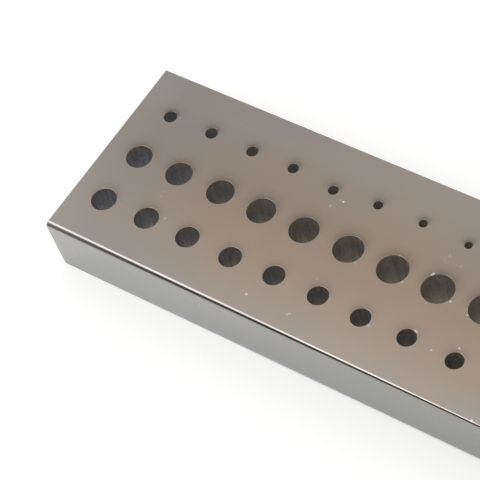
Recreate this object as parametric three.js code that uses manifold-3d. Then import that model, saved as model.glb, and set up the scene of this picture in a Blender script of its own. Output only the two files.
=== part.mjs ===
import * as THREE from 'three';
import { ConvexGeometry } from 'three/addons/geometries/ConvexGeometry.js';
import { mergeVertices } from 'three/addons/utils/BufferGeometryUtils.js';
import Module from 'manifold-3d';

// A watchmaker's riveting stake: one bar of hardened, nickel-plated steel, drilled right through with
// three rows of graduated holes. Work is set over the hole that just clears its rivet or arbor.
// Millimetres. X runs along the bar, Y across it towards the row of the smallest holes, and Z is up.
// The origin is the middle of the face that the bar stands on.

// The bar
const BAR_LENGTH = 88;
const BAR_WIDTH = 30.1;
const BAR_THICKNESS = 9.65;

// The edges of the top face are only just broken. Its front edge is the one that is handled most: buffing
// has rolled it over, less and less from left to right.
const TOP_ROLL = 0.12;
const FRONT_ROLL_LEFT = 0.68;
const FRONT_ROLL_RIGHT = 0.16;

// The corners and edges of the bottom face are stoned off more. The stoning climbs higher up the sides
// at the right end.
const BOTTOM_ROLL = 0.45;
const BOTTOM_RISE_LEFT = 0.1;
const BOTTOM_RISE_RIGHT = 0.75;

// The holes are drilled on one pitch. How many a row holds follows from the length of the bar.
const PITCH = 7;
const END_MARGIN = 5.5;
const FRONT_ROW_FROM_CENTRE = 7.95;
const MIDDLE_ROW_FROM_CENTRE = 0.3;
const BACK_ROW_FROM_CENTRE = 8.2;

// Each row's diameters change evenly from its left end to its right end. The sizes run on from row to
// row: leftwards along the back, leftwards along the front, and then rightwards along the middle.
const BACK_LEFT_DIAMETER = 1.96;
const BACK_RIGHT_DIAMETER = 0.66;
const FRONT_LEFT_DIAMETER = 3.7;
const FRONT_RIGHT_DIAMETER = 2.1;
const MIDDLE_LEFT_DIAMETER = 3.82;
const MIDDLE_RIGHT_DIAMETER = 5.02;
const RIM_ROLL = 0.06;

// The drill wandered at some holes. Each entry is a hole's number in its row, from the left and starting
// at 0, with its shift along and across the bar as shares of the pitch.
const BACK_DRIFT_SHARES = {
  0: [0.005, 0.005],
  1: [0.015, 0.025],
  2: [0.025, 0.005],
  3: [0, 0.015],
  4: [0, -0.085],
  5: [-0.02, 0],
  6: [-0.02, 0.015],
  7: [0, -0.035],
};
const MIDDLE_DRIFT_SHARES = {
  0: [0, 0.01],
  1: [-0.015, 0.015],
  2: [-0.005, 0.015],
  3: [-0.02, 0],
  4: [-0.015, -0.01],
  5: [-0.005, 0],
  6: [-0.005, -0.015],
  7: [-0.02, -0.01],
};
const FRONT_DRIFT_SHARES = {
  0: [-0.045, 0],
  1: [0.005, 0.01],
  2: [0.005, 0.005],
  3: [0.03, -0.005],
  4: [0.03, 0.025],
  5: [0.035, 0.02],
  6: [0.01, -0.025],
  7: [0.005, -0.01],
  8: [0.035, -0.035],
};

// How finely the round shapes are cut
const FACET_LENGTH = 0.6;
const LEAST_FACETS = 12;
const EDGE_STEPS = 4;
const RIM_STEPS = 2;
const CUT_OVERRUN = 1;

const QUARTER_TURN = Math.PI / 2;

// Lets a row that just fits keep its last hole when the sums are rounded
const ROUNDING_SHARE = 0.001;

const HOLE_ROWS = [
  {
    y: BACK_ROW_FROM_CENTRE,
    leftDiameter: BACK_LEFT_DIAMETER,
    rightDiameter: BACK_RIGHT_DIAMETER,
    driftShares: BACK_DRIFT_SHARES,
  },
  {
    y: MIDDLE_ROW_FROM_CENTRE,
    leftDiameter: MIDDLE_LEFT_DIAMETER,
    rightDiameter: MIDDLE_RIGHT_DIAMETER,
    driftShares: MIDDLE_DRIFT_SHARES,
  },
  {
    y: -FRONT_ROW_FROM_CENTRE,
    leftDiameter: FRONT_LEFT_DIAMETER,
    rightDiameter: FRONT_RIGHT_DIAMETER,
    driftShares: FRONT_DRIFT_SHARES,
  },
];

const { lerp } = THREE.MathUtils;
const wasm = await Module();
wasm.setup();

// A closed geometry as a solid that can be cut. Triangles that have shrunk to a line, as they do where a
// turned profile meets its axis, are left out.
function toSolid(geometry) {
  const bare = geometry.clone();
  bare.deleteAttribute('normal');
  bare.deleteAttribute('uv');
  const merged = mergeVertices(bare);
  const corners = merged.index.array;
  const kept = [];
  for (let i = 0; i < corners.length; i += 3) {
    const [a, b, c] = [corners[i], corners[i + 1], corners[i + 2]];
    if (a !== b && b !== c && c !== a) {
      kept.push(a, b, c);
    }
  }
  const mesh = new wasm.Mesh({
    numProp: 3,
    vertProperties: new Float32Array(merged.attributes.position.array),
    triVerts: new Uint32Array(kept),
  });
  return new wasm.Manifold(mesh);
}

function toGeometry(solid) {
  const mesh = solid.getMesh();
  const geometry = new THREE.BufferGeometry();
  geometry.setAttribute('position', new THREE.BufferAttribute(mesh.vertProperties, mesh.numProp));
  geometry.setIndex(new THREE.BufferAttribute(mesh.triVerts, 1));
  geometry.computeVertexNormals();
  return geometry;
}

// The bar's eight corners. Each lies towards an end, a side and a face, and is rolled over by so much along
// the bar, across it and upwards.
const CORNERS = [
  { towards: [-1, -1, 1], rolls: [TOP_ROLL, FRONT_ROLL_LEFT, FRONT_ROLL_LEFT] },
  { towards: [1, -1, 1], rolls: [TOP_ROLL, FRONT_ROLL_RIGHT, FRONT_ROLL_RIGHT] },
  { towards: [-1, 1, 1], rolls: [TOP_ROLL, TOP_ROLL, TOP_ROLL] },
  { towards: [1, 1, 1], rolls: [TOP_ROLL, TOP_ROLL, TOP_ROLL] },
  { towards: [-1, -1, -1], rolls: [BOTTOM_ROLL, BOTTOM_ROLL, BOTTOM_RISE_LEFT] },
  { towards: [1, -1, -1], rolls: [BOTTOM_ROLL, BOTTOM_ROLL, BOTTOM_RISE_RIGHT] },
  { towards: [-1, 1, -1], rolls: [BOTTOM_ROLL, BOTTOM_ROLL, BOTTOM_RISE_LEFT] },
  { towards: [1, 1, -1], rolls: [BOTTOM_ROLL, BOTTOM_ROLL, BOTTOM_RISE_RIGHT] },
];

// Points on a rounded corner, which is an eighth of an ellipsoid
function cornerPoints({ towards, rolls }) {
  const halfSize = new THREE.Vector3(BAR_LENGTH, BAR_WIDTH, BAR_THICKNESS).divideScalar(2);
  const centre = new THREE.Vector3(0, 0, BAR_THICKNESS / 2);
  const direction = new THREE.Vector3(...towards);
  const roll = new THREE.Vector3(...rolls);
  const points = [];
  for (let row = 0; row <= EDGE_STEPS; row += 1) {
    const rise = (row / EDGE_STEPS) * QUARTER_TURN;
    for (let column = 0; column <= EDGE_STEPS; column += 1) {
      const turn = (column / EDGE_STEPS) * QUARTER_TURN;
      const outwards = new THREE.Vector3(
        Math.cos(rise) * Math.cos(turn),
        Math.cos(rise) * Math.sin(turn),
        Math.sin(rise),
      );
      points.push(outwards.subScalar(1).multiply(roll).add(halfSize).multiply(direction).add(centre));
    }
  }
  return points;
}

// The bar before drilling is what its eight corners span: flat faces, and edges whose rolls change evenly
// from corner to corner
function barBlank() {
  return new ConvexGeometry(CORNERS.flatMap(cornerPoints));
}

// What the drill and the polishing take out at one hole: a straight bore through the bar, whose two rims
// are rolled over where they meet the faces
function holeCutter(diameter) {
  const radius = diameter / 2;
  const mouth = radius + RIM_ROLL;
  const profile = [new THREE.Vector2(0, -CUT_OVERRUN), new THREE.Vector2(mouth, -CUT_OVERRUN)];
  for (let step = 0; step <= RIM_STEPS; step += 1) {
    const turn = (step / RIM_STEPS) * QUARTER_TURN;
    profile.push(new THREE.Vector2(mouth - RIM_ROLL * Math.sin(turn), RIM_ROLL * (1 - Math.cos(turn))));
  }
  for (let step = RIM_STEPS; step >= 0; step -= 1) {
    const turn = (step / RIM_STEPS) * QUARTER_TURN;
    const depth = RIM_ROLL * (1 - Math.cos(turn));
    profile.push(new THREE.Vector2(mouth - RIM_ROLL * Math.sin(turn), BAR_THICKNESS - depth));
  }
  profile.push(new THREE.Vector2(mouth, BAR_THICKNESS + CUT_OVERRUN));
  profile.push(new THREE.Vector2(0, BAR_THICKNESS + CUT_OVERRUN));

  const quarterFacets = Math.ceil((Math.PI * diameter) / (4 * FACET_LENGTH));
  const facets = Math.max(LEAST_FACETS, 4 * quarterFacets);
  return new THREE.LatheGeometry(profile, facets).rotateX(QUARTER_TURN);
}

// Where each hole of a row is, and how wide
function rowHoles({ y, leftDiameter, rightDiameter, driftShares }) {
  const gaps = Math.floor((BAR_LENGTH - 2 * END_MARGIN) / PITCH + ROUNDING_SHARE);
  return Array.from({ length: gaps + 1 }, (_, number) => {
    const [alongShare, acrossShare] = driftShares[number] ?? [0, 0];
    return {
      x: (number - gaps / 2 + alongShare) * PITCH,
      y: y + acrossShare * PITCH,
      diameter: lerp(leftDiameter, rightDiameter, number / Math.max(1, gaps)),
    };
  });
}

function drilledBar() {
  let bar = toSolid(barBlank());
  for (const { x, y, diameter } of HOLE_ROWS.flatMap(rowHoles)) {
    bar = bar.subtract(toSolid(holeCutter(diameter).translate(x, y, 0)));
  }
  return toGeometry(bar);
}

const platedSteel = new THREE.MeshStandardMaterial({ color: 0xa39c92, roughness: 0.36, metalness: 1 });

const stakeBlock = new THREE.Mesh(drilledBar(), platedSteel);
stakeBlock.name = 'stake_block';

const rivetingStake = new THREE.Group();
rivetingStake.add(stakeBlock);

export default rivetingStake;
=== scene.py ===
# %% [markdown]
# A riveting stake is a bar of hardened, nickel-plated steel with rows of graduated holes. The maker sets
# a rivet or an arbor in the hole that it just clears and strikes the work from above.
# The CAD model already holds the bar at its real size, so this lesson starts from it and adds what a
# polisher adds: edges rolled by the buff, soft metal round the holes, and a finish that shows use.

# %% Load the frame
import math

import bpy
from mathutils import Matrix, Vector, kdtree


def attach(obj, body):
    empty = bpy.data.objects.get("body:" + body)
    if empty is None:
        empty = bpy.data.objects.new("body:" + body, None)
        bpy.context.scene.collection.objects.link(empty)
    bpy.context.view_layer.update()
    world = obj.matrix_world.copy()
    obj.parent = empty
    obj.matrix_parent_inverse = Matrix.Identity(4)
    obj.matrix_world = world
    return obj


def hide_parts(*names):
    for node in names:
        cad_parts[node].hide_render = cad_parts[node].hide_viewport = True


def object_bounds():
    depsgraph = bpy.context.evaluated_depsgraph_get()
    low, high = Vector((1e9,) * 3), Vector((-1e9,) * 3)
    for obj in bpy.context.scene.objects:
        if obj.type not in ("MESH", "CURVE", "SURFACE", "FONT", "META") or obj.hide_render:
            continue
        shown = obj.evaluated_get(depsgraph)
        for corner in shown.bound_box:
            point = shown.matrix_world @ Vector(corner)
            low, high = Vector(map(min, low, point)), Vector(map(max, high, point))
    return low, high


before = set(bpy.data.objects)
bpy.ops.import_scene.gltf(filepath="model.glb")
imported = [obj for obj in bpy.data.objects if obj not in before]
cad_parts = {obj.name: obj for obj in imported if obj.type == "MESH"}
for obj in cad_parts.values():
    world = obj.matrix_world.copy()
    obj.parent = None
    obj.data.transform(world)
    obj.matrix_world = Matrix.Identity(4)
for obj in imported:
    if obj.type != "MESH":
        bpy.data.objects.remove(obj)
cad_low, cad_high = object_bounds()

scene = bpy.context.scene
LENGTH, WIDTH, THICKNESS = cad_high - cad_low
print(f"bar {LENGTH * 1000:.1f} x {WIDTH * 1000:.1f} x {THICKNESS * 1000:.1f} mm")

# %% [markdown]
# The camera comes first, because everything else is judged through it. A long lens was held high over
# the bar's front left corner and turned a little on its own axis. The picture's middle falls on the top
# face, so that spot, a distance and three angles say all there is to say about the camera.

# %% Camera
PHOTO_SIDE = 480
FOCAL_PIXELS = 2037
SENSOR_WIDTH = 36
CAMERA_AZIMUTH = math.radians(48.17)
CAMERA_ELEVATION = math.radians(53.95)
CAMERA_ROLL = math.radians(-17.9)
CAMERA_DISTANCE = 0.2756
PICTURE_MIDDLE = Vector((-0.01758, -0.00507, cad_high.z))
NEAREST_SEEN = 0.01


def linked(name, data):
    """A new object in the scene."""
    made = bpy.data.objects.new(name, data)
    scene.collection.objects.link(made)
    return made


camera_turn = (
    Matrix.Rotation(CAMERA_AZIMUTH, 3, "Z")
    @ Matrix.Rotation(math.pi / 2 - CAMERA_ELEVATION, 3, "X")
    @ Matrix.Rotation(CAMERA_ROLL, 3, "Z")
)
camera_place = PICTURE_MIDDLE + camera_turn @ Vector((0, 0, CAMERA_DISTANCE))

camera_data = bpy.data.cameras.new("camera")
camera_data.sensor_width = SENSOR_WIDTH
camera_data.lens = FOCAL_PIXELS / PHOTO_SIDE * SENSOR_WIDTH
camera_data.clip_start = NEAREST_SEEN
camera = linked("camera", camera_data)
camera.matrix_world = Matrix.Translation(camera_place) @ camera_turn.to_4x4()
scene.camera = camera
scene.view_settings.view_transform = "Standard"
place_mm = [round(value * 1000, 1) for value in camera_place]
print(f"camera at {place_mm} mm, lens {camera_data.lens:.1f} mm")

# %% [markdown]
# Node trees are easier to read when a rule looks like the sum that it is. A Wire is one value in a tree,
# and adding or multiplying two wires places the Math node that does it. The same class serves Geometry
# Nodes and shaders, because both use the same Math node.

# %% Node maths
def feed(tree, value, place):
    """Gives an input socket a wire, a socket or a plain value."""
    if isinstance(value, Wire):
        value = value.socket
    if isinstance(value, bpy.types.NodeSocket):
        tree.links.new(value, place)
    elif value is not None:
        place.default_value = value


def maths(tree, operation, *values):
    node = tree.nodes.new("ShaderNodeMath")
    node.operation = operation
    for place, value in zip(node.inputs, values):
        feed(tree, value, place)
    return Wire(tree, node.outputs[0])


class Wire:
    """One value in a node tree."""

    def __init__(self, tree, socket):
        self.tree = tree
        self.socket = socket

    def __add__(self, other):
        return maths(self.tree, "ADD", self, other)

    def __sub__(self, other):
        return maths(self.tree, "SUBTRACT", self, other)

    def __rsub__(self, other):
        return maths(self.tree, "SUBTRACT", other, self)

    def __mul__(self, other):
        return maths(self.tree, "MULTIPLY", self, other)

    def __truediv__(self, other):
        return maths(self.tree, "DIVIDE", self, other)

    def __rtruediv__(self, other):
        return maths(self.tree, "DIVIDE", other, self)

    def __pow__(self, other):
        return maths(self.tree, "POWER", self, other)

    __radd__ = __add__

    def over(self, least):
        return maths(self.tree, "MAXIMUM", self, least)

    def under(self, most):
        return maths(self.tree, "MINIMUM", self, most)

    def between(self, least, most):
        return self.over(least).under(most)

    def sine(self):
        return maths(self.tree, "SINE", self)

    def cosine(self):
        return maths(self.tree, "COSINE", self)

    def magnitude(self):
        return maths(self.tree, "ABSOLUTE", self)

    def exponential(self):
        return maths(self.tree, "EXPONENT", self)

    def rise(self, start, over):
        """0 up to a start, and 1 from a distance past it on."""
        return ((self - start) / over).between(0, 1)

    def fall(self, start, over):
        """1 up to a distance short of a start, and 0 from the start on."""
        return ((start - self) / over).between(0, 1)

    def is_below(self, limit):
        return maths(self.tree, "LESS_THAN", self, limit)

    def eased(self):
        """The same share from 0 to 1, starting and ending gently."""
        return self * self * (3 - self * 2)

    def towards(self, other, share):
        return self + (other - self) * share


def hypotenuse(x, y):
    return (x * x + y * y) ** 0.5


# %% Node helpers
def combined(tree, x, y, z):
    node = tree.nodes.new("ShaderNodeCombineXYZ")
    for place, value in zip(node.inputs, (x, y, z)):
        feed(tree, value, place)
    return node.outputs[0]


def separated(tree, vector):
    node = tree.nodes.new("ShaderNodeSeparateXYZ")
    feed(tree, vector, node.inputs[0])
    return [Wire(tree, output) for output in node.outputs]


def placed(tree, kind, inputs=None, **settings):
    """Adds a node, sets it and feeds its named inputs."""
    node = tree.nodes.new(kind)
    for setting, value in settings.items():
        setattr(node, setting, value)
    for name, value in (inputs or {}).items():
        feed(tree, value, node.inputs[name])
    return node


def new_group(name, kind, inputs, outputs):
    """An empty node group with named inputs and outputs: its tree, what it is given, and its end node."""
    tree = bpy.data.node_groups.new(name, kind)
    for label, socket_type, default in inputs:
        socket = tree.interface.new_socket(label, in_out="INPUT", socket_type=socket_type)
        if default is not None:
            socket.default_value = default
    for label, socket_type in outputs:
        tree.interface.new_socket(label, in_out="OUTPUT", socket_type=socket_type)
    start = placed(tree, "NodeGroupInput")
    given = {output.name: Wire(tree, output) for output in start.outputs}
    return tree, given, placed(tree, "NodeGroupOutput")


# %% [markdown]
# The CAD block knows where every hole is and how wide. Reading that from its corners keeps both models
# in step, so nothing is typed twice. Just under the rolled rim, each bore's wall has a ring of corners:
# those of one ring lie close together and the rings lie apart, so a flood fill sorts them out.

# %% Read the bores from the CAD block
ROWS = 3
RIM_ROLL = 0.00006
RING_GAP = 0.001
OUTLINE_BAND = 0.001
SAME_PLACE = 0.000002


def wall_corners(block):
    """The corners of all the bores' walls just under the top face, each place once."""
    level = cad_high.z - RIM_ROLL
    places = set()
    for corner in block.data.vertices:
        x, y, z = corner.co
        inside = abs(x) < LENGTH / 2 - OUTLINE_BAND and abs(y) < WIDTH / 2 - OUTLINE_BAND
        if inside and abs(z - level) < SAME_PLACE:
            places.add((round(x, 7), round(y, 7)))
    return [Vector((x, y, 0)) for x, y in sorted(places)]


def rings(corners):
    """Sorts the corners into rings, one to a bore."""
    tree = kdtree.KDTree(len(corners))
    for index, corner in enumerate(corners):
        tree.insert(corner, index)
    tree.balance()
    waiting = set(range(len(corners)))
    found = []
    while waiting:
        ring = []
        edge = [waiting.pop()]
        while edge:
            index = edge.pop()
            ring.append(corners[index])
            near = {hit[1] for hit in tree.find_range(corners[index], RING_GAP)} & waiting
            waiting -= near
            edge.extend(near)
        found.append(ring)
    return found


def circle_of(ring):
    centre = sum(ring, Vector()) / len(ring)
    return centre, max((corner - centre).length for corner in ring)


bores = [circle_of(ring) for ring in rings(wall_corners(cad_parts["stake_block"]))]
bores.sort(key=lambda bore: bore[0].y)
COLUMNS = len(bores) // ROWS
bore_rows = [
    sorted(bores[row * COLUMNS:(row + 1) * COLUMNS], key=lambda bore: bore[0].x)
    for row in range(ROWS)
]
for row in bore_rows:
    print(f"row at y {row[0][0].y * 1000:6.2f} mm:", [round(radius * 2000, 2) for _, radius in row])

# %% [markdown]
# The bar is a shape that follows a rule, so Geometry Nodes build it. Think of it as 36 rings of steel, one
# round each bore, packed like tiles. Cut through a ring, its outline runs across the top face, over the
# rim, down the bore, over the lower rim, back across the bottom face and, for a ring at the edge of the
# bar, up the side. That outline is the same for all of them, so it is written once, as a list of stations.
# A buff doesn't leave a perfect quarter round on a long edge: it leaves two narrow flats with soft
# shoulders. In the photograph they are the bright line and the dark line along the front edge. A table of
# tilts along the edge gives that profile.

# %% The section of a ring
EDGE_TILTS = ((0, 0), (0.07, 20), (0.37, 32), (0.43, 46), (0.91, 56), (1, 90))
EDGE_STEPS = 14
RIM_STEPS = 5
TOP_STEPS = 12
WALL_STEPS = 2
UNDER_STEPS = 4
SIDE_STEPS = 6
PROFILE_PARTS = 400


def smooth(share):
    return share * share * (3 - 2 * share)


def edge_profile(tilts, steps):
    """Inset and drop of a worn edge, from the flat face to the side, as shares of the width of the roll."""
    inset, drop = 0, 0
    course = [(0, 0)]
    for part in range(PROFILE_PARTS):
        share = (part + 1 / 2) / PROFILE_PARTS
        for (low, low_tilt), (high, high_tilt) in zip(tilts, tilts[1:]):
            if low <= share <= high:
                tilt = math.radians(low_tilt + (high_tilt - low_tilt) * (share - low) / (high - low))
        inset += math.cos(tilt)
        drop += math.sin(tilt)
        course.append((inset, drop))
    picked = [course[round(PROFILE_PARTS * step / steps)] for step in range(steps + 1)]
    return [(1 - across / inset, down / inset) for across, down in picked]


def rim_profile(steps):
    turns = [math.pi / 2 * step / steps for step in range(steps + 1)]
    return [(1 - math.sin(turn), 1 - math.cos(turn)) for turn in turns]


def ring_section():
    """Stations from the border of the top face round to itself.

    Each one is its share of the way to the bore, its inset, its drop and its share of the height.
    """
    edge = edge_profile(EDGE_TILTS, EDGE_STEPS)
    rim = rim_profile(RIM_STEPS)
    top_face = [(smooth(step / TOP_STEPS), 1, 0, 1) for step in range(TOP_STEPS)]
    top_rim = [(1, inset, drop, 1) for inset, drop in rim]
    wall = [(1, 0, 1, 1 - step / WALL_STEPS) for step in range(1, WALL_STEPS)]
    low_rim = [(1, inset, drop, 0) for inset, drop in reversed(rim)]
    under = [(1 - smooth(step / UNDER_STEPS), 1, 0, 0) for step in range(1, UNDER_STEPS)]
    low_edge = [(0, inset, drop, 0) for inset, drop in edge]
    side = [(0, 0, edge[-1][1], smooth(step / SIDE_STEPS)) for step in range(1, SIDE_STEPS)]
    top_edge = [(0, inset, drop, 1) for inset, drop in reversed(edge)]
    return top_face + top_rim + wall + low_rim + under + low_edge + side + top_edge


def points_object(name, places, attributes):
    """Loose points with named attributes, for a node tree to work on."""
    mesh = bpy.data.meshes.new(name)
    mesh.from_pydata(places, [], [])
    for label, (kind, values) in attributes.items():
        attribute = mesh.attributes.new(label, kind, "POINT")
        for item, value in zip(attribute.data, values):
            if kind == "FLOAT":
                item.value = value
            else:
                item.vector = value
    return linked(name, mesh)


stations = ring_section()
EDGE_DROP = edge_profile(EDGE_TILTS, EDGE_STEPS)[-1][1]
section = points_object(
    "ring_section",
    [station[:3] for station in stations],
    {"height_share": ("FLOAT", [station[3] for station in stations])},
)
print(f"{len(stations)} stations in the section of a ring")

# %% [markdown]
# Each ring also needs to know the tile of the bar that it fills. Tiles meet half-way between
# neighbouring holes, and the outer ones end at the outline of the bar. A sign of -1, 0 or 1 says on which
# side of a tile the outline is, so that its corners crowd there and the bar's own corners come out fine.

# %% The tiles of the bar
def borders(places, low, high):
    """Borders of a row of tiles: half-way between neighbours, and the two ends of the bar."""
    middles = [(one + other) / 2 for one, other in zip(places, places[1:])]
    return [low, *middles, high]


def average(values):
    values = list(values)
    return sum(values) / len(values)


def side_of(number, count):
    return (number == count - 1) - (number == 0)


column_middles = [average(row[column][0].x for row in bore_rows) for column in range(COLUMNS)]
row_middles = [average(centre.y for centre, _ in row) for row in bore_rows]
column_borders = borders(column_middles, cad_low.x, cad_high.x)
row_borders = borders(row_middles, cad_low.y, cad_high.y)

tile_places, tile_radii, tile_lows, tile_highs, tile_crowds = [], [], [], [], []
for row_number, row in enumerate(bore_rows):
    for column, (centre, radius) in enumerate(row):
        tile_places.append(centre)
        tile_radii.append(radius)
        tile_lows.append((column_borders[column], row_borders[row_number], 0))
        tile_highs.append((column_borders[column + 1], row_borders[row_number + 1], 0))
        tile_crowds.append((side_of(column, COLUMNS), side_of(row_number, ROWS), 0))
widest = max(high - low for low, high in zip(column_borders, column_borders[1:]))
print(f"{len(tile_places)} tiles, the widest {widest * 1000:.2f} mm")

# %% [markdown]
# The tree lays one grid out as "round the bore" by "along the section", puts a copy on every bore and then
# moves each corner to its place by a sum. Near the outline the border of a tile draws in as the edge rolls
# over: a seat is the nearest place well inside the bar, and the corner stands off it by what the roll leaves.
# Last, tiles are welded along their seams, and walls between tiles that aren't at the outline are deleted.

# %% Geometry Nodes helpers
def named_value(tree, name, data_type="FLOAT"):
    node = placed(tree, "GeometryNodeInputNamedAttribute", {"Name": name}, data_type=data_type)
    return Wire(tree, node.outputs["Attribute"])


def named_pair(tree, name):
    vector = named_value(tree, name, "FLOAT_VECTOR")
    return separated(tree, vector)[:2]


def stored(tree, geometry, name, data_type, domain, value):
    inputs = {"Geometry": geometry, "Name": name, "Value": value}
    kind = "GeometryNodeStoreNamedAttribute"
    return placed(tree, kind, inputs, data_type=data_type, domain=domain).outputs["Geometry"]


def on_faces(tree, value):
    """The mean of a value over the corners of a face."""
    node = placed(tree, "GeometryNodeFieldOnDomain", {"Value": value}, data_type="FLOAT", domain="FACE")
    return Wire(tree, node.outputs[0])


def both(tree, one, other):
    node = placed(tree, "FunctionNodeBooleanMath", operation="AND")
    feed(tree, one, node.inputs[0])
    feed(tree, other, node.inputs[1])
    return node.outputs[0]


def compared(tree, value, operation, limit):
    node = placed(tree, "FunctionNodeCompare", data_type="FLOAT", operation=operation)
    feed(tree, value, node.inputs[0])
    feed(tree, limit, node.inputs[1])
    return node.outputs[0]


def finished(tree, geometry, material, faces=None):
    inputs = {"Geometry": geometry, "Selection": faces, "Material": material}
    return placed(tree, "GeometryNodeSetMaterial", inputs).outputs[0]


def set_inputs(modifier, values):
    """Sets a modifier's inputs by the identifiers of their sockets."""
    for item in modifier.node_group.interface.items_tree:
        if item.item_type == "SOCKET" and item.in_out == "INPUT" and item.name in values:
            modifier[item.identifier] = values[item.name]


def made_by_nodes(piece, tree, values):
    """Runs a node tree on an object and keeps the result as its plain mesh."""
    modifier = piece.modifiers.new(tree.name, "NODES")
    modifier.node_group = tree
    set_inputs(modifier, values)
    graph = bpy.context.evaluated_depsgraph_get()
    mesh = bpy.data.meshes.new_from_object(piece.evaluated_get(graph), depsgraph=graph)
    piece.modifiers.remove(modifier)
    piece.data = mesh
    return piece


# %% [markdown]
# The sizes that shape the bar are named inputs of the tree, so a reader can turn each one and see what it
# does. The edges are rolled by different amounts along the bar. The upright corners are sharp at the top
# and stoned round towards the bottom, so their roundness has a value for each. Dub is the shallow dip that
# polishing leaves round a hole, and it is deeper behind the hole.

# %% Sizes of the tree, and one ring laid flat
FLOAT_INPUTS = {
    "Bar Length": LENGTH,
    "Bar Width": WIDTH,
    "Bar Thickness": THICKNESS,
    "Top Roll": 0.00012,
    "Front Roll Left": 0.00068,
    "Front Roll Right": 0.00016,
    "Bottom Roll": 0.00045,
    "Bottom Rise Left": 0.0001,
    "Bottom Rise Right": 0.00075,
    "Corner Roundness Low": 0.62,
    "Corner Roundness Top": 0.0,
    "Rim Roll": RIM_ROLL,
    "Dub Depth": 0.00004,
    "Dub Reach": 0.0006,
}
ROUND_STEPS = 64


def sampled(tree, geometry, row, value, data_type):
    """A value of the point whose number is row."""
    inputs = {"Geometry": geometry, "Index": row, "Value": value}
    return placed(tree, "GeometryNodeSampleIndex", inputs, data_type=data_type).outputs[0]


def ring_template(tree, section_object):
    """One grid, round the bore by along the section, that carries each station's numbers."""
    info = placed(tree, "GeometryNodeObjectInfo", {"Object": section_object}, transform_space="ORIGINAL")
    points = info.outputs["Geometry"]
    size = placed(tree, "GeometryNodeAttributeDomainSize", {"Geometry": points})
    count = Wire(tree, size.outputs["Point Count"])
    grid_inputs = {"Size X": 1, "Size Y": 1, "Vertices X": ROUND_STEPS + 1, "Vertices Y": count}
    grid = placed(tree, "GeometryNodeMeshGrid", grid_inputs)
    place = placed(tree, "GeometryNodeInputPosition").outputs[0]
    x, y, _ = separated(tree, place)
    row = maths(tree, "ROUND", (y + 1 / 2) * (count - 1))
    station = sampled(tree, points, row, place, "FLOAT_VECTOR")
    height = sampled(tree, points, row, named_value(tree, "height_share"), "FLOAT")
    geometry = stored(tree, grid.outputs["Mesh"], "around", "FLOAT", "POINT", x + 1 / 2)
    geometry = stored(tree, geometry, "station", "FLOAT_VECTOR", "POINT", station)
    return stored(tree, geometry, "height", "FLOAT", "POINT", height)


# %% Where the corners of a ring go
CORNER_ROOM = 0.001
WELD = 0.000001
NEARLY_NONE = 0.001
NEARLY_ALL = 0.999
DUB_FRONT_SHARE = 0.3
FIRST_ANGLE = -3 * math.pi / 4


def outline_point(tree, size, inset):
    """The border of a tile: its place at this inset, the height of its roll and a flag for the outline."""
    walk = named_value(tree, "around") * 4
    height = named_value(tree, "height")
    low_x, low_y = named_pair(tree, "tile_low")
    high_x, high_y = named_pair(tree, "tile_high")
    crowd_x, crowd_y = named_pair(tree, "tile_crowd")
    along = walk.under(3 - walk).between(0, 1)
    across = (walk - 1).under(4 - walk).between(0, 1)
    along = along + crowd_x * along * (1 - along)
    across = across + crowd_y * across * (1 - across)
    x, y = low_x.towards(high_x, along), low_y.towards(high_y, across)

    half_length, half_width = size["Bar Length"] * 0.5, size["Bar Width"] * 0.5
    share_x, share_y = x / size["Bar Length"] + 0.5, y / size["Bar Width"] + 0.5
    front_roll = size["Front Roll Left"].towards(size["Front Roll Right"], share_x)
    top_roll = front_roll.towards(size["Top Roll"], share_y)
    bottom_rise = size["Bottom Rise Left"].towards(size["Bottom Rise Right"], share_x)
    roll_along = size["Bottom Roll"].towards(size["Top Roll"], height)
    roll_across = size["Bottom Roll"].towards(top_roll, height)
    roll_up = bottom_rise.towards(top_roll, height)

    room_x, room_y = half_length - CORNER_ROOM, half_width - CORNER_ROOM
    seat_x, seat_y = x.between(room_x * -1, room_x), y.between(room_y * -1, room_y)
    out_x, out_y = (x - seat_x) / CORNER_ROOM, (y - seat_y) / CORNER_ROOM
    reach = out_x.magnitude().over(out_y.magnitude()) / hypotenuse(out_x, out_y).over(NEARLY_NONE)
    roundness = size["Corner Roundness Low"].towards(size["Corner Roundness Top"], height)
    rounding = 1 - (1 - reach) * roundness
    place_x = seat_x + out_x * rounding * (CORNER_ROOM - roll_along * inset)
    place_y = seat_y + out_y * rounding * (CORNER_ROOM - roll_across * inset)
    border = (half_length - x.magnitude()).under(half_width - y.magnitude())
    return place_x, place_y, roll_up, border.is_below(WELD)


def ring_position(tree, size):
    """Moves every corner of the rings to its place on the bar."""
    share, inset, drop = separated(tree, named_value(tree, "station", "FLOAT_VECTOR"))
    height = named_value(tree, "height")
    border_x, border_y, roll, at_outline = outline_point(tree, size, inset)

    centre_x, centre_y = named_pair(tree, "bore_centre")
    radius = named_value(tree, "bore_radius")
    angle = named_value(tree, "around") * (2 * math.pi) + FIRST_ANGLE
    mouth = radius + size["Rim Roll"] * inset
    x = border_x.towards(centre_x + angle.cosine() * mouth, share)
    y = border_y.towards(centre_y + angle.sine() * mouth, share)

    span = hypotenuse(x - centre_x, y - centre_y)
    clear = (span - radius - size["Rim Roll"]).over(0)
    backward = ((y - centre_y) / span + 1) * 0.5
    sided = backward * (1 - DUB_FRONT_SHARE) + DUB_FRONT_SHARE
    dub = size["Dub Depth"] * (clear / size["Dub Reach"] * -1).exponential() * sided * share
    fall = drop * roll.towards(size["Rim Roll"], share)
    z = height * size["Bar Thickness"] + (1 - height * 2) * fall - height * dub
    return combined(tree, x, y, z), at_outline


# %% The tree that builds the bar
ROLLED_GAIN = 8


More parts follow.
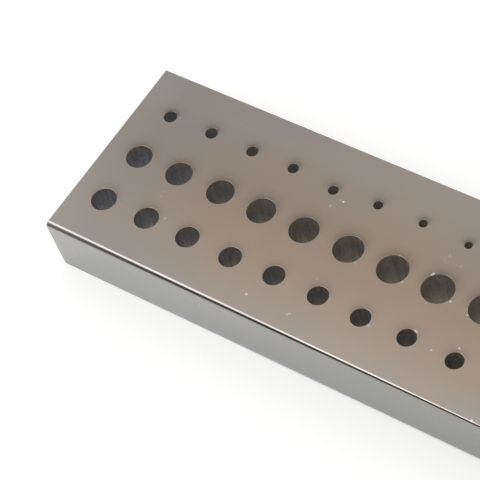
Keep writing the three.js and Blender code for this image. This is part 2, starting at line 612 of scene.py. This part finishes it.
def bar_tree():
    """The whole tree: rings on points, moved to their places, welded and given their two finishes."""
    inputs = [("Geometry", "NodeSocketGeometry", None), ("Section", "NodeSocketObject", None)]
    inputs += [(name, "NodeSocketFloat", value) for name, value in FLOAT_INPUTS.items()]
    inputs += [("Face Finish", "NodeSocketMaterial", None), ("Bore Finish", "NodeSocketMaterial", None)]
    outputs = [("Geometry", "NodeSocketGeometry")]
    tree, given, end = new_group("bar_of_rings", "GeometryNodeTree", inputs, outputs)

    copies = {"Points": given["Geometry"], "Instance": ring_template(tree, given["Section"])}
    spread = placed(tree, "GeometryNodeInstanceOnPoints", copies)
    rings_made = placed(tree, "GeometryNodeRealizeInstances", {"Geometry": spread.outputs["Instances"]})
    share, inset, drop = separated(tree, named_value(tree, "station", "FLOAT_VECTOR"))
    position, at_outline = ring_position(tree, given)
    centre = named_value(tree, "bore_centre", "FLOAT_VECTOR")
    radius = named_value(tree, "bore_radius")

    geometry = rings_made.outputs["Geometry"]
    geometry = stored(tree, geometry, "at_outline", "FLOAT", "POINT", at_outline)
    whole_drop = share * (1 - EDGE_DROP) + EDGE_DROP
    rolled = ((1 - inset) * ROLLED_GAIN).under(1) * ((whole_drop - drop) * ROLLED_GAIN).between(0, 1)
    geometry = stored(tree, geometry, "rolled", "FLOAT", "POINT", rolled)
    geometry = stored(tree, geometry, "hole_centre", "FLOAT_VECTOR", "FACE", centre)
    geometry = stored(tree, geometry, "hole_radius", "FLOAT", "FACE", radius)
    moved = placed(tree, "GeometryNodeSetPosition", {"Geometry": geometry, "Position": position})

    outer = on_faces(tree, named_value(tree, "at_outline"))
    partition = both(
        tree,
        compared(tree, on_faces(tree, share), "LESS_THAN", NEARLY_NONE),
        compared(tree, outer, "LESS_THAN", NEARLY_ALL),
    )
    inner_walls = {"Geometry": moved.outputs[0], "Selection": partition}
    opened = placed(tree, "GeometryNodeDeleteGeometry", inner_walls, domain="FACE")
    welded = placed(tree, "GeometryNodeMergeByDistance", {"Geometry": opened.outputs[0], "Distance": WELD})
    shaded = placed(tree, "GeometryNodeSetShadeSmooth", {"Geometry": welded.outputs[0]})
    real = placed(tree, "GeometryNodeRealizeInstances", {"Geometry": shaded.outputs[0]})
    faced = finished(tree, real.outputs[0], given["Face Finish"])
    wall = both(
        tree,
        compared(tree, on_faces(tree, share), "GREATER_THAN", NEARLY_ALL),
        compared(tree, on_faces(tree, inset), "LESS_THAN", NEARLY_NONE),
    )
    bored = finished(tree, faced, given["Bore Finish"], wall)
    tree.links.new(bored, end.inputs[0])
    return tree


# %% [markdown]
# Satin nickel is the buffed plate itself. It is a metal, so its colour is the colour of what it mirrors,
# dimmed and warmed a little. What makes it read as real is unevenness: broad clouds where the plate took
# a little more colour, hair-fine lines left by the buff, and pinholes. Each is a shader group with named
# inputs, so that the bore walls can use the clouds as well, at their own sizes.

# %% Shader helpers
WHITE = (1, 1, 1)
NOISE_MEAN = 0.5


def object_place(tree):
    return placed(tree, "ShaderNodeTexCoord").outputs["Object"]


def surface_value(tree, name):
    return Wire(tree, placed(tree, "ShaderNodeAttribute", attribute_name=name).outputs["Fac"])


def surface_pair(tree, name):
    return separated(tree, placed(tree, "ShaderNodeAttribute", attribute_name=name).outputs["Vector"])[:2]


def vector_maths(tree, operation, one, other):
    node = placed(tree, "ShaderNodeVectorMath", operation=operation)
    feed(tree, one, node.inputs[0])
    feed(tree, other, node.inputs[1])
    return node.outputs


def scaled(tree, vector, x, y, z):
    return vector_maths(tree, "MULTIPLY", vector, combined(tree, x, y, z))["Vector"]


def noise(tree, vector, scale, detail, roughness=0.5):
    node = placed(tree, "ShaderNodeTexNoise", {"Vector": vector, "Scale": scale, "Detail": detail,
                                               "Roughness": roughness})
    return Wire(tree, node.outputs["Fac"])


def blended(tree, share, one, other):
    """One colour changing into another as a share goes from 0 to 1."""
    node = placed(tree, "ShaderNodeMix", data_type="RGBA", clamp_factor=True)
    feed(tree, share, node.inputs["Factor"])
    for value, place in ((one, node.inputs[6]), (other, node.inputs[7])):
        feed(tree, (*value, 1) if isinstance(value, tuple) else value, place)
    return node.outputs[2]


def dimmed(tree, colour, share):
    node = placed(tree, "ShaderNodeVectorMath", operation="SCALE")
    feed(tree, colour, node.inputs[0])
    feed(tree, share, node.inputs["Scale"])
    return node.outputs[0]


def group_used(tree, group, inputs):
    node = placed(tree, "ShaderNodeGroup", node_tree=group)
    for name, value in inputs.items():
        feed(tree, value, node.inputs[name])
    return {output.name: Wire(tree, output) for output in node.outputs}


# %% Shader groups
def shader_group(name, vectors, numbers, results):
    """A group that takes vectors, and numbers with their usual values, and gives numbers."""
    inputs = [(label, "NodeSocketVector", None) for label in vectors]
    inputs += [(label, "NodeSocketFloat", usual) for label, usual in numbers.items()]
    outputs = [(label, "NodeSocketFloat") for label in results]
    return new_group(name, "ShaderNodeTree", inputs, outputs)


def clouds_group():
    """Broad soft patches and finer mottling, each centred on 0."""
    sizes = {"Patch Size": 0.01, "Mottle Size": 0.001}
    tree, given, end = shader_group("plate_clouds", ["Vector"], sizes, ["Patches", "Mottle"])
    patches = noise(tree, given["Vector"], 1 / given["Patch Size"], detail=1)
    mottle = noise(tree, given["Vector"], 1 / given["Mottle Size"], detail=3, roughness=0.6)
    feed(tree, patches * 2 - 1, end.inputs["Patches"])
    feed(tree, mottle * 2 - 1, end.inputs["Mottle"])
    return tree


def lines_group():
    """Hair-fine lines that run along Y, as a height from 0 to 1."""
    sizes = {"Line Width": 0.0001, "Line Length": 0.003}
    tree, given, end = shader_group("buffing_lines", ["Vector"], sizes, ["Height"])
    across, along = 1 / given["Line Width"], 1 / given["Line Length"]
    stretched = scaled(tree, given["Vector"], across, along, across)
    feed(tree, noise(tree, stretched, scale=1, detail=2, roughness=0.7), end.inputs["Height"])
    return tree


def pinholes_group():
    """Sparse round pinholes, as a mask from 0 to 1."""
    sizes = {"Spacing": 0.002, "Width Share": 0.05}
    tree, given, end = shader_group("pinholes", ["Vector"], sizes, ["Mask"])
    inputs = {"Vector": given["Vector"], "Scale": 1 / given["Spacing"]}
    cells = placed(tree, "ShaderNodeTexVoronoi", inputs)
    away = Wire(tree, cells.outputs["Distance"]) / given["Width Share"]
    feed(tree, (1 - away).between(0, 1).eased(), end.inputs["Mask"])
    return tree


plate_clouds = clouds_group()
buffing_lines = lines_group()
pinholes = pinholes_group()
print("shader groups:", plate_clouds.name, buffing_lines.name, pinholes.name)

# %% [markdown]
# Where a buff drags across a hole it digs a little behind it, and the dip tips the plate towards a dimmer
# part of the studio. That leaves a soft dark tail on one side of every hole, and its darkness is painted
# shade in the plate's colour. Its mask comes from how far a point is from its bore, and in which direction,
# which the mesh carries as values of its own faces. On the rolled rim itself the painted tail starts weakly,
# and the painted shade of the other edges stays off it.

# %% Comet tails, painted shade
TAIL_SIDE = Vector((-0.2, 1)).normalized()
TAIL_FROM_COSINE = -0.35
TAIL_OVER_COSINE = 1.3
TAIL_REACH = 0.0005
TAIL_REACH_SHARE = 0.25
TAIL_FADE = 1.6
TAIL_ONSET = 0.2
TAIL_AT_RIM = 0.46
TAIL_STRENGTH = 0.46
TAIL_GROWTH = 0.5
TAIL_FLOOR = 0.0006
TAIL_FLOOR_OVER = 0.0002
RIM_BAND = 0.00008


def painted_tail_shade(tree):
    """Painted shade behind a hole, and a flag that is 0 on the rim itself, so that the painted edge shade
    stays off the rim.
    """
    x, y, z = separated(tree, object_place(tree))
    centre_x, centre_y = surface_pair(tree, "hole_centre")
    radius = surface_value(tree, "hole_radius")
    away_x, away_y = x - centre_x, y - centre_y
    span = hypotenuse(away_x, away_y)
    ahead = (away_x * TAIL_SIDE.x + away_y * TAIL_SIDE.y) / span
    facing = ahead.rise(TAIL_FROM_COSINE, TAIL_OVER_COSINE).eased()
    reach = radius * TAIL_REACH_SHARE + TAIL_REACH
    clear = (span - radius).over(0) / reach
    on_top = z.rise(cad_high.z - TAIL_FLOOR, TAIL_FLOOR_OVER)
    onset = (clear / TAIL_ONSET).under(1) * (1 - TAIL_AT_RIM) + TAIL_AT_RIM
    off_rim = (span - radius).rise(RIM_BAND, RIM_BAND)
    strength = centre_y / WIDTH * TAIL_GROWTH + TAIL_STRENGTH
    return (clear * -TAIL_FADE).exponential() * onset * facing * on_top * strength, off_rim


# %% [markdown]
# Years at the bench leave nicks: a slip of the punch breaks the plate, and the bare steel glints. That glint
# is painted: each nick blends the plate's colour towards white, a painted highlight. Each one has its place
# on the top face in millimetres, its width and its strength. One group makes one nick, and a loop takes the
# strongest at each point. A little noise in the place makes the spots ragged.

# %% Nicks, with painted glints
NICK_RAGGEDNESS = 0.00012
NICK_GRAIN = 6000
MILLIMETRE = 0.001
NICK_GLINTS_MM = (
    (-29.04, -6.76, 0.26, 0.50),
    (-31.84, -3.02, 0.24, 0.20),
    (-31.70, -3.94, 0.24, 0.20),
    (-37.15, 8.68, 0.30, 0.22),
    (-11.98, -11.99, 0.30, 0.90),
    (-8.20, 6.56, 0.27, 1.00),
    (-8.71, 6.66, 0.20, 0.55),
    (-9.42, 5.19, 0.28, 0.35),
    (12.82, -0.71, 0.27, 0.85),
    (9.16, 5.41, 0.36, 0.17),
    (11.31, 4.55, 0.33, 0.18),
    (14.32, -8.22, 0.22, 1.00),
    (17.37, -6.33, 0.25, 0.90),
    (17.68, -6.43, 0.18, 0.30),
    (-5.34, -12.13, 0.28, 0.42),
    (-5.14, -11.92, 0.27, 0.42),
    (24.01, -14.72, 0.30, 0.90),
    (-40.09, -6.33, 0.26, 0.32),
    (8.54, 1.75, 0.26, 1.00),
    (8.66, 2.02, 0.26, 1.00),
    (10.96, -6.58, 0.24, 0.75),
    (11.27, -6.68, 0.24, 0.75),
    (5.62, -0.96, 0.30, 0.50),
    (-1.46, -1.23, 0.30, 0.20),
    (15.32, -0.74, 0.22, 0.50),
    (15.82, -1.51, 0.24, 0.60),
    (9.11, 6.67, 0.22, 0.12),
    (8.96, 4.44, 0.34, 0.10),
    (10.11, -2.39, 0.22, 0.30),
    (-4.70, -5.69, 0.30, 0.12),
    (3.20, 2.50, 0.24, 0.30),
    (1.73, 1.62, 0.22, 0.20),
    (5.17, -8.70, 0.26, 0.60),
)


def nick_group():
    """One ragged spot, as a mask that is 1 in its middle."""
    tree, given, end = shader_group("painted_nick_glint", ["Vector", "Place"], {"Width": 0.0003}, ["Mask"])
    apart = vector_maths(tree, "DISTANCE", given["Vector"], given["Place"])["Value"]
    away = Wire(tree, apart) / given["Width"]
    feed(tree, (1 - away).between(0, 1).eased(), end.inputs["Mask"])
    return tree


painted_nick_glint = nick_group()


def all_nick_glints(tree, place):
    """The strongest painted glint of any nick at each point."""
    grain = placed(tree, "ShaderNodeTexNoise", {"Vector": place, "Scale": NICK_GRAIN, "Detail": 1})
    shift = vector_maths(tree, "SUBTRACT", grain.outputs["Color"], (NOISE_MEAN,) * 3)["Vector"]
    ragged = vector_maths(tree, "ADD", place, dimmed(tree, shift, NICK_RAGGEDNESS))["Vector"]
    strongest = 0
    for x, y, width, strength in NICK_GLINTS_MM:
        spot_place = Vector((x * MILLIMETRE, y * MILLIMETRE, cad_high.z))
        nick = {"Vector": ragged, "Place": spot_place, "Width": width * MILLIMETRE}
        spot = group_used(tree, painted_nick_glint, nick)
        strongest = (spot["Mask"] * strength).over(strongest)
    return strongest


print(f"{len(NICK_GLINTS_MM)} nicks")

# %% [markdown]
# A finish is one Principled shader whose inputs are fed by sums of masks. Fingers keep the plate clean along
# the long edges and at the left end, and it has tarnished in between, so one mask runs from the clean colour
# to the warm one. The top face's brightness is painted as well: broad ramps and swells make it brighter or
# dimmer by place, a painted reflection of how the studio's light falls across it.

# %% Stain and painted brightness of the top face
NICKEL_CLEAN = (0.43, 0.424, 0.413)
NICKEL_TARNISHED = (0.468, 0.374, 0.31)
TARNISH_Y = -0.003
TARNISH_REACH_BACK = 0.021
TARNISH_REACH_FRONT = 0.015
TARNISH_CLEAR_OF_END = 0.024
TARNISH_AT_END = 0.3
TARNISH_PATCHES = 0.25
TOP_SHADE = 1.02
DIM_TO_BACK = 0.2
BRIGHT_TO_RIGHT = 0.06
DIM_BAND_Y = 0.002
DIM_BAND_REACH = 0.009
DIM_BAND_SHADE = 0.078
BRIGHT_FROM_X = -0.034
BRIGHT_OVER = 0.036
BRIGHT_SHADE = 0.1
BRIGHT_MARGIN = 0.1
MARGIN_SHADE = 0.02
LEFT_END_X = -0.0385
LEFT_END_OVER = 0.004
LEFT_END_SHADE = 0.05


def swell(value, middle, reach):
    """1 in its middle, and down to 0 at its reach on both sides."""
    away = (value - middle) / reach
    return (1 - away * away).over(0)


def weighted(weights, masks):
    """The weight named base, plus every other weight times the mask of its name."""
    total = weights["base"]
    for name, weight in weights.items():
        if name != "base":
            total = total + masks[name] * weight
    return total


def tarnish_mask(x, y, patches):
    """Full along the middle, less towards the long edges and the left end, where fingers keep it bright."""
    backward = ((y - TARNISH_Y) / TARNISH_REACH_BACK).over(0)
    forward = ((TARNISH_Y - y) / TARNISH_REACH_FRONT).over(0)
    across = 1 - backward * backward - forward * forward
    from_end = x.rise(-LENGTH / 2, TARNISH_CLEAR_OF_END)
    along = TARNISH_AT_END + from_end * (1 - TARNISH_AT_END)
    return (across * along + patches * TARNISH_PATCHES).between(0, 1)


def painted_top_brightness(x, y):
    """Painted reflection: ramps across and along, a dim band, a bright right part and a bright left end."""
    to_the_front = (y / WIDTH * -2).over(0)
    margin = to_the_front * to_the_front
    slopes = TOP_SHADE - y / WIDTH * DIM_TO_BACK + x / LENGTH * BRIGHT_TO_RIGHT
    dim_band = swell(y, DIM_BAND_Y, DIM_BAND_REACH) * DIM_BAND_SHADE
    right_part = x.rise(BRIGHT_FROM_X, BRIGHT_OVER) * (margin * BRIGHT_MARGIN + BRIGHT_SHADE)
    left_end = x.fall(LEFT_END_X, LEFT_END_OVER) * LEFT_END_SHADE
    return slopes - dim_band + right_part - margin * MARGIN_SHADE + left_end


# %% [markdown]
# The sides mirror the floor and take their own two colours, paler and warmer near the top and darker towards
# the bottom. They are also painted darker towards the right end, which is painted shade. The rolled edges are
# painted darker as well: painted shade that dims the lamp's line on them, and along the front edge one
# stretch is dimmed more and the next one less. All of it is one material, so a flag from the mesh says where
# an edge is rolled, and height says what the top is.

# %% Satin nickel
SIDE_LOW = (0.334, 0.342, 0.342)
SIDE_HIGH = (0.391, 0.382, 0.339)
SIDE_SHADE = 0.9
SIDE_DIM_TO_RIGHT = 0.25
TOP_BAND = 0.0003
EDGE_CLEAN = 0.7
EDGE_SHADE = 0.22
TOP_EDGE_SHADE = 0.06
TOP_EDGE_STRETCHES = ((-0.0085, 0.009, 0.14), (0.009, 0.011, -0.065))
SIDE_MOTTLE = 0.03
TOP_MOTTLE = 0.01
NICKEL_CLOUDS = {"Patch Size": 0.011, "Mottle Size": 0.0012}
NICKEL_LINES = {"Line Width": 0.00007, "Line Length": 0.004}
NICKEL_PINHOLES = {"Spacing": 0.0023, "Width Share": 0.02}
NICKEL_SHADE = {"base": 1, "patches": 0.03, "mottle": 1, "painted_tails": -1, "pinholes": -0.4, "edge_shade": -1}
NICKEL_ROUGHNESS = {"base": 0.27, "patches": 0.03, "painted_tails": 0.2, "rolled": -0.1, "nick_glints": 0.25}
LINE_HEIGHT = 0.3
NICKEL_BUMP = 0.00001


def new_finish(name):
    """A material with an empty tree but for its surface shader."""
    material = bpy.data.materials.new(name)
    material.use_nodes = True
    tree = material.node_tree
    tree.nodes.clear()
    surface = placed(tree, "ShaderNodeBsdfPrincipled")
    output = placed(tree, "ShaderNodeOutputMaterial")
    tree.links.new(surface.outputs["BSDF"], output.inputs["Surface"])
    return material, tree, surface


def bumped(tree, surface, height, distance):
    bump = placed(tree, "ShaderNodeBump", {"Height": height, "Strength": 1, "Distance": distance})
    tree.links.new(bump.outputs["Normal"], surface.inputs["Normal"])


def edge_line_shade(x, on_top):
    """Painted shade on a rolled edge, the same all round, and along the top by stretches."""
    along_top = TOP_EDGE_SHADE
    for middle, reach, weight in TOP_EDGE_STRETCHES:
        along_top = along_top + swell(x, middle, reach) * weight
    return EDGE_SHADE + on_top * along_top


def satin_nickel():
    material, tree, surface = new_finish("satin_nickel")
    place = object_place(tree)
    x, y, z = separated(tree, place)
    clouds = group_used(tree, plate_clouds, {"Vector": place, **NICKEL_CLOUDS})
    lines = group_used(tree, buffing_lines, {"Vector": place, **NICKEL_LINES})
    holes = group_used(tree, pinholes, {"Vector": place, **NICKEL_PINHOLES})
    on_top = z.rise(cad_high.z - TOP_BAND, TOP_BAND)
    rolled = surface_value(tree, "rolled")
    tail_shade, off_rim = painted_tail_shade(tree)
    masks = {
        "patches": clouds["Patches"],
        "mottle": clouds["Mottle"] * (SIDE_MOTTLE - on_top * (SIDE_MOTTLE - TOP_MOTTLE)),
        # painted shade of the dark tails behind the holes
        "painted_tails": tail_shade,
        # The pinholes are painted darker: painted shade in their pits.
        "pinholes": holes["Mask"],
        "rolled": rolled,
        # painted shade on the rolled edges, which dims the lamp's line on them
        "edge_shade": rolled * off_rim * edge_line_shade(x, on_top),
        "nick_glints": all_nick_glints(tree, place),
    }

    tarnish = tarnish_mask(x, y, masks["patches"]) * (1 - rolled * EDGE_CLEAN)
    top_colour = blended(tree, tarnish, NICKEL_CLEAN, NICKEL_TARNISHED)
    side_colour = blended(tree, z / THICKNESS, SIDE_LOW, SIDE_HIGH)
    colour = blended(tree, on_top, side_colour, top_colour)
    # The sides are painted darker towards the right: painted shade.
    side_painted_shade = SIDE_SHADE - x / LENGTH * SIDE_DIM_TO_RIGHT
    # The shade holds painted light and shade by place, tails, rolled edges and pinholes, and the plate's own
    # patches and mottle.
    shade = side_painted_shade.towards(painted_top_brightness(x, y), on_top) * weighted(NICKEL_SHADE, masks)
    # Nicks blend the colour to white: a painted highlight.
    colour = blended(tree, masks["nick_glints"], dimmed(tree, colour, shade), WHITE)
    feed(tree, colour, surface.inputs["Base Color"])
    surface.inputs["Metallic"].default_value = 1
    feed(tree, weighted(NICKEL_ROUGHNESS, masks), surface.inputs["Roughness"])
    bumped(tree, surface, lines["Height"] * LINE_HEIGHT - holes["Mask"], NICKEL_BUMP)
    return material


# %% [markdown]
# Nobody polishes the inside of a bore. Its wall is drilled steel with fine rings and streaks. Its shade is
# painted: darker under the rim, where shade falls, and paler deeper down, painted light in place of light
# from below. It also changes with the width of the bore, and grows paler towards the left end for all but
# the wide ones. The brown grows towards the back right and away from one depth, and the wide bores at the
# left end are the bluest. So shade and colour are sums of depth, width and place. Depth is counted in widths
# of the bore, because how far one sees into a bore goes with its width.

# %% Drilled steel
BORE_BLUE = (0.398, 0.426, 0.495)
BORE_BROWN = (0.475, 0.418, 0.345)
BORE_SHADE_MOST = 1.6
WIDE_FROM = 0.0018
WIDE_OVER = 0.0003
MEDIUM_FROM = 0.0012
MEDIUM_OVER = 0.0003
SLIM_FROM = 0.00115
SLIM_OVER = 0.0001
PALER_FROM_X = -0.0035
PALER_OVER = 0.035
SHADE_UNDER_RIM = {"base": 0.26, "wide": 0.16}
SHADE_PER_DEPTH = {"base": 0.85, "wide": -0.27}
SHADE_BY_WIDTH = {"base": 0.84, "wide": 0.05, "medium": 0.16, "slim": 0.12}
SHADE_AT_LEFT = {"base": 0.26, "slim": -0.14}
BROWN_BASE = 0.25
BROWN_PATCHES = 0.3
BROWN_FROM_LEFT = 0.44
BROWN_TO_BACK = 3.2
BROWN_TO_RIGHT = 0.8
LEAST_BROWN_DEPTH = 0.8
BROWN_OFF_DEPTH = 1.3
BLUEST_FROM_X = -0.0245
BLUEST_OVER = 0.014
BLUEST_PER_RADIUS = 150
BORE_CLOUDS = {"Patch Size": 0.002, "Mottle Size": 0.0004}
RING_SCALES = (300, 300, 9000)
STREAK_SCALES = (2500, 2500, 200)
BORE_UNEVENNESS = {"base": 1, "mottle": 0.5, "rings": 0.4, "streaks": 1}
BORE_METALLIC = 0.5
BORE_ROUGHNESS = 0.55
BORE_ROUGHNESS_MOTTLE = 0.1
RING_BUMP = 0.00003


def painted_bore_shade(centre_x, depth, radius):
    """Painted shade and light: dark under the rim and paler deeper down, by width, and a little paler towards
    the left end.
    """
    widths = {
        "wide": radius.rise(WIDE_FROM, WIDE_OVER),
        "medium": radius.rise(MEDIUM_FROM, MEDIUM_OVER),
        "slim": radius.fall(SLIM_FROM, SLIM_OVER),
    }
    by_depth = weighted(SHADE_UNDER_RIM, widths) + depth * weighted(SHADE_PER_DEPTH, widths)
    leftward = centre_x.fall(PALER_FROM_X, PALER_OVER)
    at_left = leftward * (1 - widths["wide"]) * weighted(SHADE_AT_LEFT, widths)
    return by_depth.under(BORE_SHADE_MOST) * (weighted(SHADE_BY_WIDTH, widths) + at_left)


def bore_brown(centre_x, centre_y, depth, radius, patches):
    """The share of brown: more to the back right and away from one depth, less at the left end."""
    to_back_right = (centre_x / LENGTH + BROWN_FROM_LEFT) * (centre_y / WIDTH * BROWN_TO_BACK + 1)
    off_depth = depth - LEAST_BROWN_DEPTH
    bluest = centre_x.fall(BLUEST_FROM_X, BLUEST_OVER) * radius * BLUEST_PER_RADIUS
    brown = to_back_right * BROWN_TO_RIGHT + BROWN_BASE + patches * BROWN_PATCHES
    return brown + off_depth * off_depth * BROWN_OFF_DEPTH - bluest


def drilled_steel():
    material, tree, surface = new_finish("drilled_steel")
    place = object_place(tree)
    z = separated(tree, place)[2]
    centre_x, centre_y = surface_pair(tree, "hole_centre")
    radius = surface_value(tree, "hole_radius")
    depth = (cad_high.z - z) / (radius * 2)
    clouds = group_used(tree, plate_clouds, {"Vector": place, **BORE_CLOUDS})
    rings_cut = noise(tree, scaled(tree, place, *RING_SCALES), scale=1, detail=3, roughness=0.6)
    streaks = noise(tree, scaled(tree, place, *STREAK_SCALES), scale=1, detail=2, roughness=0.6)
    masks = {"mottle": clouds["Mottle"], "rings": rings_cut - NOISE_MEAN, "streaks": streaks - NOISE_MEAN}

    brown = bore_brown(centre_x, centre_y, depth, radius, clouds["Patches"])
    # painted shade and light of the bore wall, times its own unevenness
    shade = painted_bore_shade(centre_x, depth, radius) * weighted(BORE_UNEVENNESS, masks)
    feed(tree, dimmed(tree, blended(tree, brown, BORE_BLUE, BORE_BROWN), shade), surface.inputs["Base Color"])
    surface.inputs["Metallic"].default_value = BORE_METALLIC
    feed(tree, BORE_ROUGHNESS + masks["mottle"] * BORE_ROUGHNESS_MOTTLE, surface.inputs["Roughness"])
    bumped(tree, surface, rings_cut, RING_BUMP)
    return material


face_finish = satin_nickel()
bore_finish = drilled_steel()
print("finishes:", face_finish.name, "and", bore_finish.name)

# %% [markdown]
# With the finishes ready, the tree runs once. Its result is kept as a plain mesh, so the bar doesn't depend
# on the tree. Values that were only scaffolding are removed, and the mesh's volume is printed: the walls must
# close it, and its volume must come out positive, or its faces would point inwards.

# %% The bar
KEPT_VALUES = {"rolled", "hole_centre", "hole_radius", "position", "material_index"}


def without_scaffolding(mesh):
    for name in [attribute.name for attribute in mesh.attributes]:
        attribute = mesh.attributes.get(name)
        if attribute and name not in KEPT_VALUES and not name.startswith(".") and not attribute.is_required:
            mesh.attributes.remove(attribute)


def without_bare_slots(mesh):
    """Drops material slots that no node filled, and renumbers the faces to match."""
    kept = [index for index, material in enumerate(mesh.materials) if material]
    finishes = [mesh.materials[index] for index in kept]
    numbers = [kept.index(face.material_index) for face in mesh.polygons]
    mesh.materials.clear()
    for finish in finishes:
        mesh.materials.append(finish)
    mesh.polygons.foreach_set("material_index", numbers)


def signed_volume(mesh):
    """Volume inside a mesh, negative where it is inside out."""
    mesh.calc_loop_triangles()
    corners = [vertex.co for vertex in mesh.vertices]
    return sum(
        corners[a].dot(corners[b].cross(corners[c])) / 6
        for a, b, c in (triangle.vertices for triangle in mesh.loop_triangles)
    )


body = points_object(
    "stake_body",
    tile_places,
    {
        "bore_centre": ("FLOAT_VECTOR", tile_places),
        "bore_radius": ("FLOAT", tile_radii),
        "tile_low": ("FLOAT_VECTOR", tile_lows),
        "tile_high": ("FLOAT_VECTOR", tile_highs),
        "tile_crowd": ("FLOAT_VECTOR", tile_crowds),
    },
)
made_by_nodes(body, bar_tree(), {"Section": section, "Face Finish": face_finish, "Bore Finish": bore_finish})
bpy.data.objects.remove(section)
without_scaffolding(body.data)
without_bare_slots(body.data)
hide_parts("stake_block")
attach(body, "root")
print(f"{len(body.data.polygons)} faces, {signed_volume(body.data) * 1e9:.0f} cubic mm")

# %% [markdown]
# The studio is a pale sweep with a soft sky of light: bright at the horizon and dimmer overhead. That
# gradient is what a satin bar mirrors, so its top comes out darker than its front, which mirrors the
# floor. One soft lamp at the front left puts the bright line on the rolled edge. A dark card beside it,
# which only reflections can see, puts the dark line under it, as photographers do for metal. The card is
# paler at its left end, because the line is too.

# %% Floor
FLOOR_SIDE = 6
FLOOR_COLOUR = (0.87, 0.89, 0.91)
FLOOR_GLOW = 0.33


def flat_sheet(name, corners):
    mesh = bpy.data.meshes.new(name)
    mesh.from_pydata(corners, [], [tuple(range(len(corners)))])
    return linked(name, mesh)


def pale_floor():
    """Pale and matt. Seen directly or mirrored it also glows a little, so that it reads as white paper."""
    material, tree, surface = new_finish("pale_floor")
    surface.inputs["Base Color"].default_value = (*FLOOR_COLOUR, 1)
    surface.inputs["Roughness"].default_value = 1
    surface.inputs["Specular IOR Level"].default_value = 0
    seen = placed(tree, "ShaderNodeLightPath")
    rays = Wire(tree, seen.outputs["Is Camera Ray"]) + Wire(tree, seen.outputs["Is Glossy Ray"])
    rays = rays + Wire(tree, seen.outputs["Is Transmission Ray"])
    surface.inputs["Emission Color"].default_value = (*WHITE, 1)
    feed(tree, rays.under(1) * FLOOR_GLOW, surface.inputs["Emission Strength"])
    return material


half = FLOOR_SIDE / 2
floor = flat_sheet("floor", [(-half, -half, 0), (half, -half, 0), (half, half, 0), (-half, half, 0)])
floor.data.materials.append(pale_floor())
print(f"floor {FLOOR_SIDE} m wide, glowing by {FLOOR_GLOW}")

# %% Sky of light
HORIZON_LIGHT = 0.97
OVERHEAD_LIGHT = 0.58
OVERHEAD_TINT = (1, 0.95, 0.88)


def studio_sky():
    world = bpy.data.worlds.new("studio_sky")
    world.use_nodes = True
    tree = world.node_tree
    tree.nodes.clear()
    _, _, z = separated(tree, placed(tree, "ShaderNodeTexCoord").outputs["Generated"])
    height = z.between(0, 1)
    level = height * (OVERHEAD_LIGHT - HORIZON_LIGHT) + HORIZON_LIGHT
    light = dimmed(tree, blended(tree, height, WHITE, OVERHEAD_TINT), level)
    seen = placed(tree, "ShaderNodeLightPath").outputs["Is Camera Ray"]
    back = placed(tree, "ShaderNodeBackground", {"Color": blended(tree, seen, light, WHITE)})
    output = placed(tree, "ShaderNodeOutputWorld")
    tree.links.new(back.outputs[0], output.inputs["Surface"])
    return world


scene.world = studio_sky()
print(f"sky {HORIZON_LIGHT} at the horizon and {OVERHEAD_LIGHT} overhead")

# %% Lamp and card
LAMP_PLACE = Vector((-0.26, -0.2, 0.5))
LAMP_SIDE = 0.34
LAMP_BRIGHTNESS = 2.1
CARD_MIDDLE = Vector((-0.14, -0.29, 0.11))
CARD_SIDES = (0.4, 0.22)
CARD_LEFT = -0.194
CARD_FADE = 0.028
CARD_GREY = 0.082
CARD_GAIN = 0.3


def facing_bar(place):
    """A turn that points an object's -Z at the bar."""
    return (-place).to_track_quat("-Z", "Y").to_matrix().to_4x4()


lamp_data = bpy.data.lights.new("soft_lamp", "AREA")
lamp_data.shape = "SQUARE"
lamp_data.size = LAMP_SIDE
lamp_data.energy = LAMP_BRIGHTNESS * math.pi * LAMP_SIDE ** 2
lamp = linked("soft_lamp", lamp_data)
lamp.matrix_world = Matrix.Translation(LAMP_PLACE) @ facing_bar(LAMP_PLACE)
lamp.visible_camera = False

card_turn = Matrix.Rotation(math.atan2(-CARD_MIDDLE.x, CARD_MIDDLE.y), 3, "Z")
card = flat_sheet(
    "dark_card",
    [
        CARD_MIDDLE + card_turn @ Vector((side * CARD_SIDES[0] / 2, 0, rise * CARD_SIDES[1] / 2))
        for side, rise in ((-1, -1), (1, -1), (1, 1), (-1, 1))
    ],
)
card_finish, card_tree, card_surface = new_finish("dark_card")
from_left = (separated(card_tree, object_place(card_tree))[0] - CARD_LEFT) / CARD_FADE
grey = ((from_left * -1).exponential() * CARD_GAIN + CARD_GREY).under(1)
feed(card_tree, combined(card_tree, grey, grey, grey), card_surface.inputs["Base Color"])
card_surface.inputs["Roughness"].default_value = 1
card_surface.inputs["Specular IOR Level"].default_value = 0
card.data.materials.append(card_finish)
card.visible_camera = False
card.visible_diffuse = False
card.visible_shadow = False
print(f"lamp {LAMP_PLACE.length:.2f} m away, card {CARD_MIDDLE.length:.2f} m away")
